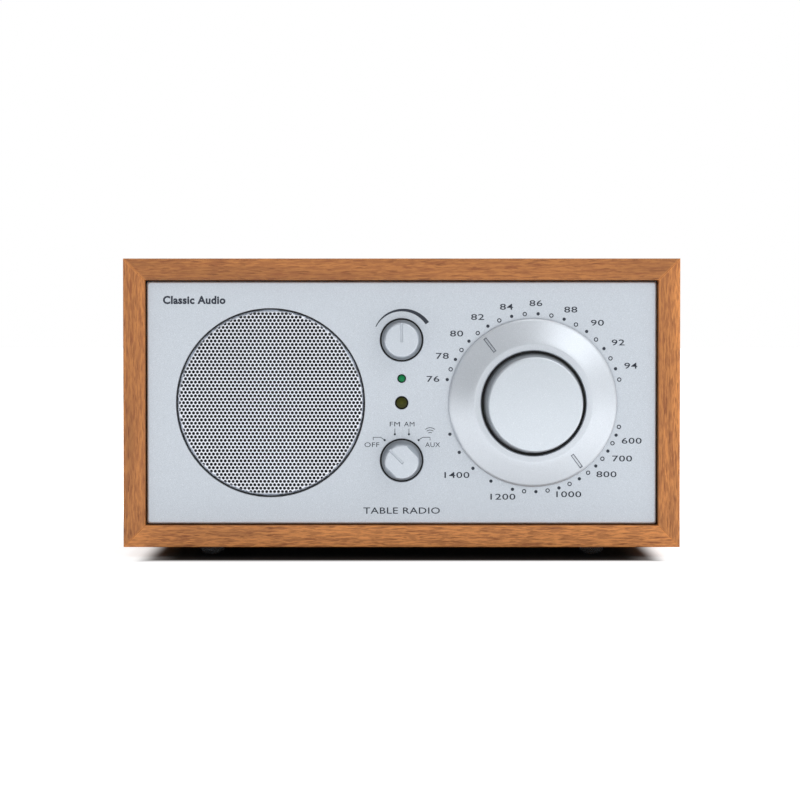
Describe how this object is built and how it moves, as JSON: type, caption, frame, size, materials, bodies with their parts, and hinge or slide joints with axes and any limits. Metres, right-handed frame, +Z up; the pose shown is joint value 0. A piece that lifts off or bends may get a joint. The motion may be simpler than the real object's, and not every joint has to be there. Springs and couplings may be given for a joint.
{
  "type": "table radio",
  "caption": "Wood-cased table radio with a silver front, a round perforated grille, small control knobs, a large geared tuning dial and rear sockets.",
  "frame": {"origin": "middle of the radio's box on the surface that the feet stand on", "axes": "+X to the right as seen from the front, +Y from the front to the back, +Z up"},
  "size_m": [0.213, 0.133, 0.1143],
  "materials": {
    "cherry": "satin",
    "softwood": "matte",
    "silicone": "satin",
    "silver_paint": "satin",
    "black_plastic": "matte",
    "grille_steel": "satin",
    "zinc_steel": "satin",
    "frame_paint": "satin",
    "felt": "matte",
    "foam_rubber": "matte",
    "cone_paper": "matte",
    "spider_cloth": "matte",
    "copper": "satin",
    "ferrite": "matte",
    "board_green": "satin",
    "component_black": "satin",
    "led_green": "gloss",
    "led_amber": "gloss",
    "acetal": "satin",
    "aluminium": "satin",
    "plated_brass": "satin",
    "white_nylon": "matte",
    "lamination": "satin",
    "lead_red": "satin",
    "nickel": "polished"
  },
  "bodies": {
    "chassis": {"cabinet_top": "cherry", "cabinet_bottom": "cherry", "cabinet_left": "cherry", "cabinet_right": "cherry", "glue_blocks": "softwood", "feet": "silicone", "bass_port": "black_plastic", "faceplate": "silver_paint", "front_chassis": "black_plastic", "chassis_screws": "zinc_steel", "speaker_grille": "grille_steel", "speaker_gasket": "felt", "speaker_basket": "frame_paint", "cone_surround": "foam_rubber", "cone_spider": "spider_cloth", "magnet_front_plate": "zinc_steel", "speaker_magnet": "ferrite", "magnet_yoke": "zinc_steel", "volume_pot": "component_black", "selector_switch": "component_black", "control_nuts": "zinc_steel", "control_board": "board_green", "power_led": "led_green", "tuning_led": "led_amber", "ring_gear": "acetal", "capacitor_case": "aluminium", "capacitor_stator": "plated_brass", "tuner_bracket": "zinc_steel", "main_board": "board_green", "board_parts": "component_black", "ferrite_rod": "ferrite", "aerial_coil": "copper", "rod_holders": "white_nylon", "transformer_core": "lamination", "transformer_coil": "copper", "speaker_leads": "lead_red", "rear_panel": "black_plastic", "rear_screws": "zinc_steel", "rear_board": "board_green", "mains_inlet": "black_plastic", "audio_jacks": "component_black", "aerial_socket": "nickel"},
    "volume_control": {"volume_knob": "silver_paint", "volume_shaft": "aluminium"},
    "selector_control": {"selector_knob": "silver_paint", "selector_shaft": "aluminium"},
    "tuning_control": {"tuning_knob": "silver_paint", "tuning_shaft": "zinc_steel"},
    "dial": {"dial_ring": "silver_paint", "dial_hub": "black_plastic", "planet_carrier": "acetal", "carrier_plate": "acetal", "capacitor_rotor": "plated_brass"},
    "planet_a": {"planet_gear_a": "acetal"},
    "planet_b": {"planet_gear_b": "acetal"},
    "planet_c": {"planet_gear_c": "acetal"},
    "cone": {"speaker_cone": "cone_paper", "dust_cap": "cone_paper", "voice_coil": "copper"},
    "aerial_switch": {"aerial_switch_slider": "component_black"}
  },
  "joints": [
    {"name": "volume_turn", "type": "hinge", "parent": "chassis", "child": "volume_control", "pos_m": [0, -0.046, 0.08315], "axis": [0, 1, 0], "range_deg": [-150, 150]},
    {"name": "selector_turn", "type": "hinge", "parent": "chassis", "child": "selector_control", "pos_m": [0, -0.046, 0.03695], "axis": [0, 1, 0], "range_deg": [0, 90]},
    {"name": "tuning_turn", "type": "hinge", "parent": "chassis", "child": "tuning_control", "pos_m": [0.0503, -0.048, 0.05905], "axis": [0, 1, 0], "range_deg": [-265.5, 634.5]},
    {"name": "dial_turn", "type": "hinge", "parent": "chassis", "child": "dial", "pos_m": [0.0503, -0.048, 0.05905], "axis": [0, 1, 0], "range_deg": [-53.1, 126.9]},
    {"name": "planet_a_spin", "type": "hinge", "parent": "dial", "child": "planet_a", "pos_m": [0.0503, -0.039, 0.06955], "axis": [0, 1, 0], "range_deg": [-338.5, 141.7]},
    {"name": "planet_b_spin", "type": "hinge", "parent": "dial", "child": "planet_b", "pos_m": [0.05939, -0.039, 0.0538], "axis": [0, 1, 0], "range_deg": [-338.5, 141.7]},
    {"name": "planet_c_spin", "type": "hinge", "parent": "dial", "child": "planet_c", "pos_m": [0.04121, -0.039, 0.0538], "axis": [0, 1, 0], "range_deg": [-338.5, 141.7]},
    {"name": "cone_stroke", "type": "slide", "parent": "chassis", "child": "cone", "axis": [0, 1, 0], "range_m": [-0.0015, 0.0015], "stiffness_N_per_m": 1000, "deforming": ["cone_surround", "cone_spider"]},
    {"name": "aerial_switch_slide", "type": "slide", "parent": "chassis", "child": "aerial_switch", "axis": [1, 0, 0], "range_m": [0, 0.004]}
  ],
  "couplings": [
    {"joint": "dial_turn", "follows": "tuning_turn", "ratio": 0.2},
    {"joint": "planet_a_spin", "follows": "tuning_turn", "ratio": -0.53333},
    {"joint": "planet_b_spin", "follows": "tuning_turn", "ratio": -0.53333},
    {"joint": "planet_c_spin", "follows": "tuning_turn", "ratio": -0.53333}
  ]
}
